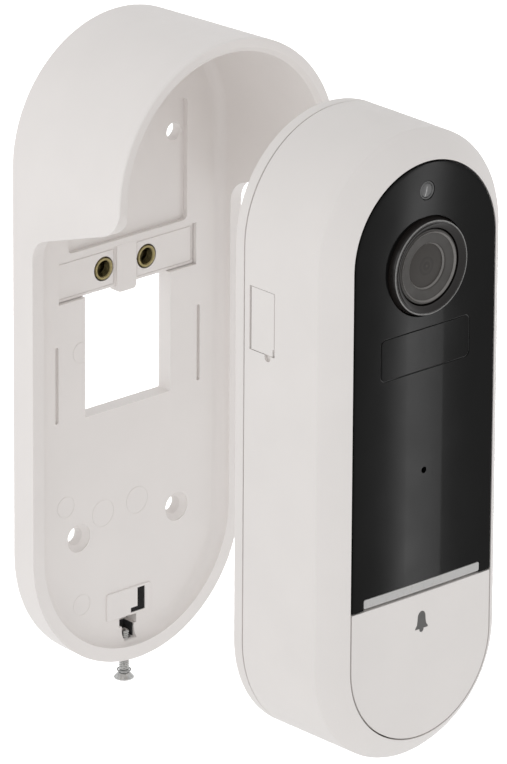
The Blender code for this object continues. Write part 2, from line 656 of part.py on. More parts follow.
def build():
    mount = [build_mount_shell()] + build_mount_fittings()
    screw, washer = build_lock_screw()
    housing = build_front_housing()
    cut_port_recess(housing)
    cap, plunger, switch_body = build_button()
    socket, reset_switch, reset = build_charging_port()
    fixed = [build_rear_cover(), build_cover_seal(), housing, build_front_panel(), switch_body, socket,
             reset_switch]
    for group in (build_front_windows(), build_camera(), build_sensors(), build_button_board(),
                  build_main_board(), build_power(), build_speaker(), build_contacts_and_screws()):
        fixed += group

    mount_empty = carry("mount_body", place(0.0, 0.0, -CENTRE_HEIGHT, WALL), mount)
    screw_axis = place(0.0, SCREW_DEPTH, SCREW_HEAD_Z, WALL)
    carrier = carry("screw_carrier", screw_axis, [washer], mount_empty)
    carry("screw_body", screw_axis, [screw], carrier)
    unit_empty = carry("unit_body", place(0.0, 0.0, 0.0, UNIT), fixed, mount_empty)
    carry("button_body", place(0.0, 30.0, BUTTON_Z, UNIT), [cap], unit_empty)
    carry("plunger_body", place(0.0, 26.0, BUTTON_Z, UNIT), [plunger], unit_empty)
    carry("reset_body", place(-23.0, *RESET_PLACE, UNIT), [reset], unit_empty)
    carry("port_cover_body", place(*port_hinge(), sum(PORT_COVER[1]) / 2, UNIT), [build_port_cover()],
          unit_empty)


build()
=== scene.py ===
"""Looks of the video doorbell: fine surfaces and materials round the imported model.

Lengths are in millimetres. A place is (x, f, z), where f is the distance in front of the wall for the
mount, or in front of the unit's own back for the unit, and z is the height over the object's middle.
"""
import json
import math

import bmesh
import bpy
from mathutils import Matrix, Vector


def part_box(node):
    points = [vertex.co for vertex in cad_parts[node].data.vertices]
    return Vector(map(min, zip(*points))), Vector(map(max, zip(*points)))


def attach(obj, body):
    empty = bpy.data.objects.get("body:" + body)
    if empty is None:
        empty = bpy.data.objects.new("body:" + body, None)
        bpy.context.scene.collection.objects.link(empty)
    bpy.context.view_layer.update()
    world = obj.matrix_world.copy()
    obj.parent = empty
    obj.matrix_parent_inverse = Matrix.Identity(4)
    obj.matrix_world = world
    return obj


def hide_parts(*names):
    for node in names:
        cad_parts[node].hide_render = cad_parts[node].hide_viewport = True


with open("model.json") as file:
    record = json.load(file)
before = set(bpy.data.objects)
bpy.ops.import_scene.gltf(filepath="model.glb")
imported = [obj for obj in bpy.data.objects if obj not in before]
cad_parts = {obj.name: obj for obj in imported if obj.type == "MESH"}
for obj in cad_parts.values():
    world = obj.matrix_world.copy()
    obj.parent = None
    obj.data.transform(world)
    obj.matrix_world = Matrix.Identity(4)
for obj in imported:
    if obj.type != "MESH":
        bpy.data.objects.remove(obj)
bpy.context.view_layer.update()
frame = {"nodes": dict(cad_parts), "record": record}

MM = 0.001


def node_span(node, axis):
    """Lowest and highest value of a CAD node along a world axis, in millimetres."""
    low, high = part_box(node)
    return low[axis] / MM, high[axis] / MM


def node_middle(node, axis):
    return sum(node_span(node, axis)) / 2


def node_width(node, axis):
    low, high = node_span(node, axis)
    return high - low


# Driving sizes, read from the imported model.
CENTRE_HEIGHT = node_middle("front_housing", 2)
UNIT_RADIUS = node_width("front_housing", 0) / 2
ARC_CENTRE = node_width("front_housing", 2) / 2 - UNIT_RADIUS
PARTING = 3.2
UNIT = -node_span("front_housing", 1)[1] - PARTING
WALL = 0.0
GAP = 0.3
PANEL_RADIUS = node_width("front_panel", 0) / 2
FRAME_START = PANEL_RADIUS + GAP
HOOD_DEPTH = -node_span("mount_shell", 1)[0]
HOOD_RADIUS = node_width("mount_shell", 0) / 2
HOOD_FLARE = 1.5
MOUNT_RADIUS = HOOD_RADIUS - HOOD_FLARE

# Sizes of the mount that repeat the model's design.
MOUNT_WALL = 3.3
MOUNT_FLOOR = 4.0
RIM_DEPTH = 7.3
SHOULDER_ANGLE = 18.7
SHOULDER_LOW = (6.0, 26.35)
SHOULDER_HIGH = (8.5, 47.1)
CABLE_HOLE = ((-12.8, 12.8), (-16.4, 12.3))
TERMINAL = (node_span("terminal_block", 0), (12.4, 22.3))
CONTACT_X = node_middle("contact_pin_right", 0)
CONTACT_Z = node_middle("contact_pin_right", 2) - CENTRE_HEIGHT
WALL_SCREW_X = 14.8
WALL_SCREW_Z = 45.2
SCREW_DEPTH = -node_middle("lock_screw", 1)
SCREW_HEAD_Z = node_span("lock_screw", 2)[0] - CENTRE_HEIGHT
SCREW_TIP_Z = node_span("lock_screw", 2)[1] - CENTRE_HEIGHT
SCREW_RADIUS = 1.2
SCREW_PITCH = 0.45

# Sizes of the unit that repeat the model's design.
EDGE_START = 26.5
FACE_DEPTH = 32.2
FACE_CROWN = 0.25
PANEL_SEAT = 28.5
SPLIT_Z = -32.5
SPLIT_GAP = 0.4
LENS_Z = node_middle("lens_bezel", 2) - CENTRE_HEIGHT
LENS_RADIUS = node_width("lens_bezel", 0) / 2
PIR_SIDES = (node_span("pir_window", 0), tuple(z - CENTRE_HEIGHT for z in node_span("pir_window", 2)))
LIGHT_SENSOR_Z = node_middle("light_pipe", 2) - CENTRE_HEIGHT
MICROPHONE_Z = node_middle("microphone", 2) - CENTRE_HEIGHT
LIGHT_BAR = (node_span("light_bar", 0), tuple(z - CENTRE_HEIGHT for z in node_span("light_bar", 2)))
BUTTON_Z = node_middle("switch_plunger", 2) - CENTRE_HEIGHT
COVER_SCREW_X = node_middle("cover_screw_upper_right", 0)
COVER_SCREW_Z = node_middle("cover_screw_upper_right", 2) - CENTRE_HEIGHT
PORT_COVER = ((5.0, 12.7), tuple(z - CENTRE_HEIGHT for z in node_span("port_cover", 2)))
PORT_COVER_THICKNESS = node_width("port_cover", 0)
USB_PLACE = (9.23, 32.65)
RESET_PLACE = (9.2, 25.4)
SCREW_SLOT_RADIUS = 1.3
UNIT_SEAT = 4.3
HOOK_BACK = 0.75 - UNIT_SEAT

ARC_STEPS = 60
EDGE_STEPS = 26

# Camera, fitted to the viewing angle: angles in degrees, distances in millimetres.
CAMERA_TURN = 42.38
CAMERA_RISE = 20.74
CAMERA_ROLL = 0.36
CAMERA_DISTANCE = 1969.0
CAMERA_RIGHT = 31.07
CAMERA_DOWN = 11.24
CAMERA_LENS = 410.6

# Studio: brightness of the surround at the sides, overhead and in front, and of the floor itself.
SIDE_LEVEL = 0.92
TOP_LEVEL = 0.72
FRONT_LEVEL = 0.94
FLOOR_GLOW = 0.15
FLOOR_DROP = 420.0


# ---------------------------------------------------------------- mesh helpers

def place(x, f, z, base):
    """World position of a place given as (x, f, z)."""
    return Vector((x, -(f + base), z + CENTRE_HEIGHT)) * MM


def mesh_object(name, bm):
    bmesh.ops.recalc_face_normals(bm, faces=bm.faces[:])
    mesh = bpy.data.meshes.new(name)
    bm.to_mesh(mesh)
    bm.free()
    obj = bpy.data.objects.new(name, mesh)
    bpy.context.scene.collection.objects.link(obj)
    return obj


def loft(name, rings):
    """Closed solid through rings of equal length, flat at both ends."""
    bm = bmesh.new()
    loops = [[bm.verts.new(point) for point in ring] for ring in rings]
    count = len(loops[0])
    for low, high in zip(loops, loops[1:]):
        for i in range(count):
            j = (i + 1) % count
            bm.faces.new((low[i], low[j], high[j], high[i]))
    bm.faces.new(loops[0])
    bm.faces.new(loops[-1])
    return mesh_object(name, bm)


def stadium(radius, steps=ARC_STEPS):
    """Outline of two half circles and the straight sides between them, as (x, z) points."""
    outline = []
    for side, start in ((1, 0.0), (-1, math.pi)):
        for k in range(steps + 1):
            angle = start + math.pi * k / steps
            outline.append((radius * math.cos(angle), side * ARC_CENTRE + radius * math.sin(angle)))
    return outline


def stadium_solid(name, stations, base, steps=ARC_STEPS):
    return loft(name, [[place(x, f, z, base) for x, z in stadium(radius, steps)] for radius, f in stations])


def face_prism(name, outline, fs, base):
    """Outline of (x, z) points, extruded from fs[0] to fs[1]."""
    return loft(name, [[place(x, f, z, base) for x, z in outline] for f in fs])


def side_prism(name, outline, xs, base):
    """Outline of (f, z) points, extruded from xs[0] to xs[1]."""
    return loft(name, [[place(x, f, z, base) for f, z in outline] for x in xs])


def top_prism(name, outline, zs, base):
    """Outline of (x, f) points, extruded from zs[0] to zs[1]."""
    return loft(name, [[place(x, f, z, base) for x, f in outline] for z in zs])


def arc(centre, radius, start, end, steps):
    """Points of an arc between two angles in degrees."""
    points = []
    for k in range(steps + 1):
        angle = math.radians(start + (end - start) * k / steps)
        points.append((centre[0] + radius * math.cos(angle), centre[1] + radius * math.sin(angle)))
    return points


def rounded_rectangle(xs, zs, corner, steps=6):
    outline = []
    for x, z, start in ((xs[1] - corner, zs[1] - corner, 0), (xs[0] + corner, zs[1] - corner, 90),
                        (xs[0] + corner, zs[0] + corner, 180), (xs[1] - corner, zs[0] + corner, 270)):
        outline += arc((x, z), corner, start, start + 90, steps)
    return outline


AXIS_TURN = {
    "X": Matrix.Rotation(math.radians(90), 4, "Y"),
    "F": Matrix.Rotation(math.radians(90), 4, "X"),
    "Z": Matrix.Identity(4),
}


def on_axis(axis, along, across):
    if axis == "X":
        return (along, across[0], across[1])
    if axis == "F":
        return (across[0], along, across[1])
    return (across[0], across[1], along)


def revolve(name, rows, axis, across, base, steps=64, closed=False, capped=False):
    """Turn (radius, distance along the axis) rows about an axis. A radius may be a function of the angle."""
    turn = Matrix.Translation(place(*on_axis(axis, 0.0, across), base)) @ AXIS_TURN[axis]
    bm = bmesh.new()
    rings = []
    for radius, along in rows:
        if not callable(radius) and radius < 1e-6:
            rings.append([bm.verts.new(turn @ Vector((0.0, 0.0, along * MM)))])
            continue
        ring = []
        for k in range(steps):
            angle = 2 * math.pi * k / steps
            r = radius(angle) if callable(radius) else radius
            point = Vector((r * math.cos(angle), r * math.sin(angle), along)) * MM
            ring.append(bm.verts.new(turn @ point))
        rings.append(ring)
    pairs = list(zip(rings, rings[1:]))
    if closed:
        pairs.append((rings[-1], rings[0]))
    for low, high in pairs:
        join_rings(bm, low, high, steps)
    if capped:
        bm.faces.new(rings[-1])
    return mesh_object(name, bm)


def join_rings(bm, low, high, steps):
    """Faces between two rings, either of which may be a single point on the axis."""
    for i in range(steps):
        j = (i + 1) % steps
        if len(low) == 1:
            bm.faces.new((low[0], high[j], high[i]))
        elif len(high) == 1:
            bm.faces.new((low[i], low[j], high[0]))
        else:
            bm.faces.new((low[i], low[j], high[j], high[i]))


def threaded(name, span, radius, depth, pitch, axis, across, base, ends, steps=40):
    """Rod with a helical thread between the two values of span. ends are profiles before and after it."""
    rows = list(ends[0])
    count = int(round((span[1] - span[0]) / pitch * 8))
    for k in range(count + 1):
        along = span[0] + (span[1] - span[0]) * k / count
        fade = min(1.0, (along - span[0]) / pitch, (span[1] - along) / pitch)
        rows.append((thread_ring(radius, depth * fade, along / pitch), along))
    return revolve(name, rows + list(ends[1]), axis, across, base, steps)


def thread_ring(radius, depth, turns):
    """Radius round a threaded rod, some turns along it, as a function of the angle."""
    return lambda angle: radius - depth * (1.0 - thread_form((turns - angle / (2 * math.pi)) % 1.0))


def thread_form(phase):
    """Height of a V thread with a flat crest, from 0 at the root to 1 at the crest."""
    return min(1.0, 2.4 * (0.5 - abs(phase - 0.5)) * 1.1)


def box(name, xs, fs, zs, base):
    return face_prism(name, [(xs[0], zs[0]), (xs[1], zs[0]), (xs[1], zs[1]), (xs[0], zs[1])], fs, base)


def soft_box(name, xs, fs, zs, base, corner, edge):
    """Block with corners rounded in the face's plane and an edge rounded towards the front."""
    rings = []
    for k in range(5):
        angle = math.radians(90 * k / 4)
        inset = edge * (1 - math.cos(angle))
        outline = rounded_rectangle(grown(xs, -inset), grown(zs, -inset), max(corner - inset, 0.02))
        rings.append([place(x, fs[1] - edge + edge * math.sin(angle), z, base) for x, z in outline])
    outline = rounded_rectangle(xs, zs, corner)
    return loft(name, [[place(x, fs[0], z, base) for x, z in outline]] + rings)


def rod(name, axis, across, span, radius, base, steps=40):
    rows = [(0.0, span[1]), (radius, span[1]), (radius, span[0]), (0.0, span[0])]
    return revolve(name, rows, axis, across, base, steps)


def grown(pair, amount):
    return (pair[0] - amount, pair[1] + amount)


def both_sides(distance):
    return (-distance, distance)


def evaluated(obj):
    """Replace an object's mesh with what its modifiers make of it."""
    bpy.context.view_layer.update()
    graph = bpy.context.evaluated_depsgraph_get()
    mesh = bpy.data.meshes.new_from_object(obj.evaluated_get(graph))
    obj.modifiers.clear()
    obj.data = mesh


def combine(target, operation, others):
    for other in others:
        modifier = target.modifiers.new(other.name, "BOOLEAN")
        modifier.operation = operation
        modifier.object = other
        modifier.solver = "EXACT"
    evaluated(target)
    for other in others:
        bpy.data.objects.remove(other, do_unlink=True)
    clean(target)


def clean(obj):
    """Merge points that a Boolean leaves almost on top of each other."""
    bm = bmesh.new()
    bm.from_mesh(obj.data)
    bmesh.ops.remove_doubles(bm, verts=bm.verts[:], dist=0.000004)
    bmesh.ops.dissolve_degenerate(bm, edges=bm.edges[:], dist=0.000004)
    bm.to_mesh(obj.data)
    bm.free()


def cut(target, *others):
    combine(target, "DIFFERENCE", others)


def join(target, *others):
    combine(target, "UNION", others)


def keep_inside(target, *others):
    combine(target, "INTERSECT", others)


def soften(obj, width, angle=40.0, segments=3):
    """Round the sharp edges of a finished shape."""
    modifier = obj.modifiers.new("soften", "BEVEL")
    modifier.width = width * MM
    modifier.segments = segments
    modifier.limit_method = "ANGLE"
    modifier.angle_limit = math.radians(angle)
    modifier.miter_outer = "MITER_ARC"


def smooth(obj, angle=28.0):
    obj.data.shade_smooth()
    obj.data.set_sharp_from_angle(angle=math.radians(angle))
    weighted = obj.modifiers.new("normals", "WEIGHTED_NORMAL")
    weighted.keep_sharp = True
    weighted.weight = 100


def settle(obj, body, slot, nodes, angle=28.0, material=None):
    """Finish a piece: its shading, its material (the slot's, unless another is named), its body, and hiding
    the CAD nodes that it stands for.
    """
    if obj.modifiers:
        evaluated(obj)
    obj.data.materials.clear()
    obj.data.materials.append(MATERIAL[material or slot])
    smooth(obj, angle)
    evaluated(obj)
    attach(obj, body)
    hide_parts(*nodes)


# ---------------------------------------------------------------- material helpers

class Surface:
    """A Principled material with its nodes, in object coordinates measured in metres."""

    def __init__(self, name, colour, roughness, metallic=0.0):
        self.material = bpy.data.materials.new(name)
        self.material.use_nodes = True
        self.tree = self.material.node_tree
        self.shader = self.tree.nodes["Principled BSDF"]
        self.colour = colour
        self.shader.inputs["Base Color"].default_value = (*colour, 1.0)
        self.shader.inputs["Roughness"].default_value = roughness
        self.shader.inputs["Metallic"].default_value = metallic
        self.coordinates = self.tree.nodes.new("ShaderNodeTexCoord").outputs["Object"]

    def set(self, **values):
        for name, value in values.items():
            self.shader.inputs[name.replace("_", " ")].default_value = value

    def node(self, kind, source=None, socket="Vector", **values):
        """New node with source linked to one of its sockets and its other inputs set."""
        node = self.tree.nodes.new("ShaderNode" + kind)
        for name, value in values.items():
            node.inputs[name.replace("_", " ")].default_value = value
        if source is not None:
            self.tree.links.new(source, node.inputs[socket])
        return node

    def noise(self, size, detail=2.0, stretch=None):
        """Noise whose features are about size millimetres, stretched along the axes if asked."""
        source = self.coordinates
        if stretch is not None:
            source = self.node("Mapping", source, Scale=stretch).outputs["Vector"]
        return self.node("TexNoise", source, Scale=1.0 / (size * MM), Detail=detail).outputs["Fac"]

    def ramp(self, source, low, high):
        """Map a 0 to 1 value to the range from low to high."""
        node = self.node("MapRange", source, "Value", From_Min=0.3, From_Max=0.7, To_Min=low, To_Max=high)
        return node.outputs["Result"]

    def vary_roughness(self, source, low, high):
        self.tree.links.new(self.ramp(source, low, high), self.shader.inputs["Roughness"])

    def mix(self, factor, first, second):
        node = self.tree.nodes.new("ShaderNodeMix")
        node.data_type = "RGBA"
        for socket, value in ((node.inputs[6], first), (node.inputs[7], second)):
            if isinstance(value, tuple):
                socket.default_value = (*value, 1.0)
            else:
                self.tree.links.new(value, socket)
        self.tree.links.new(factor, node.inputs[0])
        return node.outputs[2]

    def paint(self, colour):
        self.tree.links.new(colour, self.shader.inputs["Base Color"])

    def vary_colour(self, source, amount):
        darker = tuple(c * (1 - amount) for c in self.colour)
        lighter = tuple(min(1.0, c * (1 + amount)) for c in self.colour)
        self.paint(self.mix(self.ramp(source, 0.0, 1.0), darker, lighter))

    def bump(self, *layers):
        """Each layer is (height, depth in millimetres)."""
        normal = None
        for height, depth in layers:
            node = self.node("Bump", height, "Height", Distance=depth * MM, Strength=1.0)
            if normal is not None:
                self.tree.links.new(normal, node.inputs["Normal"])
            normal = node.outputs["Normal"]
        self.tree.links.new(normal, self.shader.inputs["Normal"])


def moulded_white(name, colour=(0.79, 0.757, 0.734)):
    """White plastic out of a spark-eroded mould: a fine matt grain and a little unevenness."""
    surface = Surface(name, colour, 0.45)
    surface.vary_colour(surface.noise(14.0, 3.0), 0.012)
    surface.vary_roughness(surface.noise(3.0, 3.0), 0.40, 0.52)
    surface.bump((surface.noise(0.32, 2.0), 0.012), (surface.noise(22.0, 1.0), 0.05))
    surface.set(Specular_IOR_Level=0.4)
    return surface.material


def gloss_black(name, colour, roughness, level):
    """Polished dark plastic, with a faint haze of handling marks."""
    surface = Surface(name, colour, roughness)
    surface.vary_roughness(surface.noise(9.0, 4.0), roughness - 0.01, roughness + 0.01)
    surface.vary_colour(surface.noise(25.0, 2.0), 0.08)
    surface.bump((surface.noise(0.5, 2.0), 0.0008))
    surface.set(Specular_IOR_Level=level)
    return surface.material


def matt_black(name, colour=(0.03, 0.028, 0.027), roughness=0.55):
    surface = Surface(name, colour, roughness)
    surface.vary_roughness(surface.noise(2.0, 3.0), roughness - 0.08, roughness + 0.08)
    surface.vary_colour(surface.noise(6.0, 3.0), 0.12)
    surface.bump((surface.noise(0.25, 2.0), 0.01))
    return surface.material


def turned_metal(name, colour, low, high, grain):
    """Machined or plated metal, with fine marks and small changes of tone."""
    surface = Surface(name, colour, low, 1.0)
    surface.vary_colour(surface.noise(0.7, 4.0), 0.18)
    surface.vary_roughness(surface.noise(0.4, 3.0), low, high)
    surface.bump((surface.noise(grain, 3.0, (1.0, 1.0, 6.0)), 0.0012))
    return surface.material


def circuit_board(name):
    """Green solder mask over copper: tracks in two directions, with bare tinned pads between them."""
    surface = Surface(name, (0.01, 0.10, 0.045), 0.35)
    turned = surface.node("Mapping", surface.coordinates, Rotation=(math.radians(90), 0.0, 0.0))
    bricks = surface.node("TexBrick", turned.outputs["Vector"], Scale=240.0, Mortar_Size=0.06,
                          Color1=(0.008, 0.085, 0.035, 1.0), Color2=(0.014, 0.12, 0.05, 1.0),
                          Mortar=(0.03, 0.2, 0.08, 1.0))
    surface.paint(bricks.outputs["Color"])
    surface.vary_roughness(surface.noise(1.5, 3.0), 0.28, 0.42)
    surface.bump((bricks.outputs["Fac"], 0.03), (surface.noise(0.4, 2.0), 0.008))
    surface.set(Coat_Weight=0.4, Coat_Roughness=0.2)
    return surface.material


def cell_wrap(name):
    """Shrink sleeve: glossy blue film with faint wrinkles round the can."""
    surface = Surface(name, (0.02, 0.09, 0.30), 0.3)
    surface.vary_colour(surface.noise(18.0, 2.0), 0.1)
    surface.vary_roughness(surface.noise(3.0, 3.0), 0.24, 0.38)
    surface.bump((surface.noise(1.2, 3.0, (1.0, 1.0, 0.3)), 0.02))
    surface.set(Coat_Weight=0.5, Coat_Roughness=0.1)
    return surface.material


def moulded_rubber(name):
    surface = Surface(name, (0.035, 0.035, 0.036), 0.8)
    surface.vary_roughness(surface.noise(1.2, 3.0), 0.7, 0.9)
    surface.vary_colour(surface.noise(3.0, 3.0), 0.15)
    surface.bump((surface.noise(0.3, 3.0), 0.02))
    return surface.material


def light_guide(name, colour):
    """Milky clear plastic that spreads light."""
    surface = Surface(name, colour, 0.3)
    surface.vary_colour(surface.noise(3.0, 2.0), 0.03)
    surface.vary_roughness(surface.noise(1.5, 3.0), 0.25, 0.38)
    surface.bump((surface.noise(0.3, 2.0), 0.006))
    surface.set(Specular_IOR_Level=0.3)
    return surface.material


def coated_glass(name, colour, roughness):
    """Dark coated glass: what shows is the sheen of the coating."""
    surface = Surface(name, colour, roughness)
    surface.vary_colour(surface.noise(2.5, 2.0), 0.06)
    surface.vary_roughness(surface.noise(2.0, 3.0), roughness, roughness + 0.05)
    surface.bump((surface.noise(4.0, 1.0), 0.002))
    surface.set(Coat_Weight=0.6, Coat_Roughness=0.03)
    return surface.material


def sintered(name):
    surface = Surface(name, (0.014, 0.013, 0.013), 0.6)
    surface.vary_roughness(surface.noise(0.5, 3.0), 0.5, 0.75)
    surface.vary_colour(surface.noise(0.6, 4.0), 0.25)
    surface.bump((surface.noise(0.2, 3.0), 0.02))
    surface.set(Specular_IOR_Level=0.15)
    return surface.material


def ringed_glass(name, colour, middle_colour):
    """Dark glass over the lens stack: faint rings and a darker pupil round the optical axis."""
    surface = Surface(name, colour, 0.4)
    centre = place(0.0, 0.0, LENS_Z, UNIT)
    shifted = surface.node("Mapping", surface.coordinates, Location=(-centre.x, 0.0, -centre.z),
                           Scale=(1.0, 0.0, 1.0))
    distance = surface.node("VectorMath", shifted.outputs["Vector"], 0)
    distance.operation = "LENGTH"
    scaled = surface.node("Math", distance.outputs["Value"], 0)
    scaled.operation = "MULTIPLY"
    scaled.inputs[1].default_value = 1.0 / (5.0 * MM)
    ramp = surface.node("ValToRGB", scaled.outputs["Value"], "Fac")
    middle = tuple(0.5 * (a + b) for a, b in zip(colour, middle_colour))
    stops = [(0.05, colour), (0.07, middle_colour), (0.2, middle_colour), (0.22, middle),
             (0.4, middle_colour), (0.44, middle), (0.9, middle)]
    first, last = ramp.color_ramp.elements
    first.position, first.color = 0.0, (*colour, 1.0)
    last.position, last.color = 0.96, (*colour, 1.0)
    for position, shade in stops:
        ramp.color_ramp.elements.new(position).color = (*shade, 1.0)
    surface.paint(ramp.outputs["Color"])
    surface.vary_roughness(surface.noise(2.0, 3.0), 0.36, 0.44)
    surface.bump((surface.noise(3.0, 1.0), 0.002))
    surface.set(Specular_IOR_Level=0.2)
    return surface.material


MATERIAL = {name: make(name, *values) for make, name, *values in (
    (moulded_white, "white_plastic"),
    # Same white plastic as the unit, painted lighter on the mount to make up for the shade under the hood.
    (moulded_white, "white_plastic_mount", (0.84, 0.805, 0.783)),
    (moulded_white, "nylon", (0.34, 0.34, 0.335)),
    (gloss_black, "panel_black", (0.0045, 0.0045, 0.0043), 0.1, 0.08),
    (gloss_black, "black_gloss", (0.012, 0.010, 0.009), 0.12, 0.35),
    (matt_black, "black_plastic"),
    (matt_black, "sensor_package", (0.06, 0.056, 0.052), 0.4),
    (matt_black, "lens_grey", (0.040, 0.036, 0.032), 0.42),
    # Light grey for the lens steps: a painted glint, lighter than the lens stack round it.
    (matt_black, "lens_step", (0.2, 0.19, 0.18), 0.35),
    (matt_black, "window_edge", (0.045, 0.045, 0.044), 0.4),
    (matt_black, "printed_grey", (0.11, 0.108, 0.105), 0.5),
    (light_guide, "smoked_clear", (0.50, 0.495, 0.485)),
    (turned_metal, "brass", (0.27, 0.225, 0.11), 0.28, 0.42, 0.25),
    # Brass painted darker for the shade inside the inserts' bores.
    (turned_metal, "bore_brass", (0.075, 0.062, 0.028), 0.25, 0.4, 0.25),
    (turned_metal, "zinc_steel", (0.56, 0.56, 0.55), 0.14, 0.24, 0.6),
    (turned_metal, "lens_trim_edge", (0.24, 0.237, 0.232), 0.3, 0.4, 0.3),
    (circuit_board, "circuit_board"),
    (cell_wrap, "cell_wrap"),
    (moulded_rubber, "rubber"),
    (sintered, "magnet"),
    (coated_glass, "optic_glass", (0.045, 0.042, 0.04), 0.06),
    (coated_glass, "sensor_glass", (0.075, 0.075, 0.075), 0.2),
    (ringed_glass, "lens_glass", (0.062, 0.056, 0.051), (0.040, 0.036, 0.033)),
)}


# ---------------------------------------------------------------- mount

def mount_outside(f):
    return MOUNT_RADIUS + HOOD_FLARE * f / HOOD_DEPTH


def shoulder_outline():
    """Side view of what is cut away to leave a low rim below the hood."""
    low_radius, low_z = SHOULDER_LOW
    high_radius, high_z = SHOULDER_HIGH
    low = arc((RIM_DEPTH + low_radius, low_z), low_radius, 180, 90 + SHOULDER_ANGLE, 14)
    high = arc((HOOD_DEPTH - high_radius + 0.2, high_z), high_radius, SHOULDER_ANGLE - 90, -4, 14)
    return [(RIM_DEPTH, -95.0)] + low + high + [(60.0, high[-1][1]), (60.0, -95.0)]


def mount_stations():
    """The shell's whole section: back edge, outer wall, rim, inner wall and the fillet at the floor."""
    stations = []
    edge = 0.5
    for k in range(4):
        angle = math.radians(30 * k)
        stations.append((mount_outside(0) - edge + edge * math.sin(angle), edge - edge * math.cos(angle)))
    rim = 0.55
    for k in range(5):
        angle = math.radians(22.5 * k)
        f = HOOD_DEPTH - rim + rim * math.sin(angle)
        stations.append((mount_outside(HOOD_DEPTH) - rim + rim * math.cos(angle), f))
    inner = mount_outside(HOOD_DEPTH) - MOUNT_WALL
    stations += [(inner + 1.15, HOOD_DEPTH), (inner + 0.95, HOOD_DEPTH - 0.1), (inner, HOOD_DEPTH - 1.1)]
    fillet = 2.5
    for k in range(9):
        angle = math.radians(11.25 * k)
        f = MOUNT_FLOOR + fillet * (1 - math.sin(angle))
        stations.append((mount_outside(f) - MOUNT_WALL - fillet * (1 - math.cos(angle)), f))
    return stations


def round_shoulder_edges(shell):
    """Round the long edges that the shoulder cut leaves along the low rim, the ramp and the hood."""
    bm = bmesh.new()
    bm.from_mesh(shell.data)
    rim, ramp_top = RIM_DEPTH * MM, HOOD_DEPTH * MM - 1e-5
    edges = []
    for edge in bm.edges:
        if len(edge.link_faces) != 2 or edge.calc_face_angle(0.0) < math.radians(50):
            continue
        depths = [-vertex.co.y for vertex in edge.verts]
        if min(depths) > rim - 1e-5 and max(depths) < ramp_top:
            edges.append(edge)
    bmesh.ops.bevel(bm, geom=edges, offset=0.5 * MM, segments=3, profile=0.5, affect="EDGES",
                    clamp_overlap=True)
    bm.to_mesh(shell.data)
    bm.free()


def magnet_outline(gap):
    """L-shaped outline with its foot to the left, pulled in by gap."""
    leg = (2.6 + gap, 4.9 - gap)
    foot = 0.6 + gap
    low, top = -67.5 + gap, -61.8 - gap
    step = -66.3 - gap
    return [(foot, low), (leg[1], low), (leg[1], top), (leg[0], top), (leg[0], step), (foot, step)]


def floor_ring(name, spot, radius):
    """Faint ring that an ejector pin leaves in the floor."""
    outer, inner, depth = radius + 0.08, radius - 0.08, MOUNT_FLOOR - 0.07
    profile = [(outer, 5.0), (outer, depth), (inner, depth), (inner, 5.0)]
    return revolve(name, profile, "F", spot, WALL, 40, closed=True)


def mount_shell():
    shell = stadium_solid("mount_shell_skin", mount_stations(), WALL)
    cut(shell, side_prism("shoulder", shoulder_outline(), both_sides(45), WALL))
    round_shoulder_edges(shell)
    join(shell, soft_box("lock_pad", both_sides(6.6), (3.0, 4.4), (-68.0, -61.3), WALL, 0.5, 0.25))

    through = (-1.0, 6.0)
    cutters = [
        face_prism("cable_hole", rounded_rectangle(*CABLE_HOLE, 0.35), through, WALL),
        box("terminal_pocket", grown(TERMINAL[0], 0.12), (0.8, 6.0), grown(TERMINAL[1], 0.12), WALL),
        face_prism("upper_pocket", rounded_rectangle(both_sides(17.8), (23.8, 53.0), 1.2), (2.7, 6.0), WALL),
        box("screw_notch", both_sides(1.85), (0.45, 6.0), (-73.6, -70.2), WALL),
        box("hook_pocket", both_sides(2.6), (0.45, 6.0), (-70.4, -68.2), WALL),
        face_prism("magnet_recess", magnet_outline(0), (3.9, 6.0), WALL),
    ]
    for side in (-1, 1):
        cutters.append(face_prism(f"groove_{side}", rounded_rectangle(
            grown((side * 21.3, side * 21.3), 0.5), (-16.0, 2.4), 0.45), (3.3, 6.0), WALL))
        x = side * WALL_SCREW_X
        upper = [(0.0, 6.0), (2.5, 6.0), (2.1, 3.6), (2.1, -1.0), (0.0, -1.0)]
        cutters.append(revolve(f"upper_hole_{side}", upper, "F", (x, WALL_SCREW_Z), WALL, 48))
        lower = [(0.0, 6.0), (3.4, 6.0), (3.4, 3.7), (3.2, 3.45), (2.1, 2.6), (2.1, -1.0), (0.0, -1.0)]
        cutters.append(revolve(f"lower_hole_{side}", lower, "F", (x, -WALL_SCREW_Z), WALL, 44))
    cut(shell, *cutters)

    bore = [(0.0, -64.4), (1.45, -64.4), (1.45, -74.7), (2.2, -74.7), (2.2, -76.8), (2.5, -77.1),
            (2.5, -79.0), (0.0, -79.0)]
    cut(shell, revolve("screw_bore", bore, "Z", (0.0, SCREW_DEPTH), WALL, 40))
    rings = [((-14.0, -0.5), 2.5), ((-18.7, -36.7), 2.5), ((-14.0, -61.7), 2.5),
             ((-7.6, -41.0), 3.2), ((2.7, -40.4), 3.2)]
    cut(shell, *[floor_ring(f"ring_{number}", spot, radius) for number, (spot, radius) in enumerate(rings)])
    settle(shell, "mount", "white_plastic", ["mount_shell"], material="white_plastic_mount")


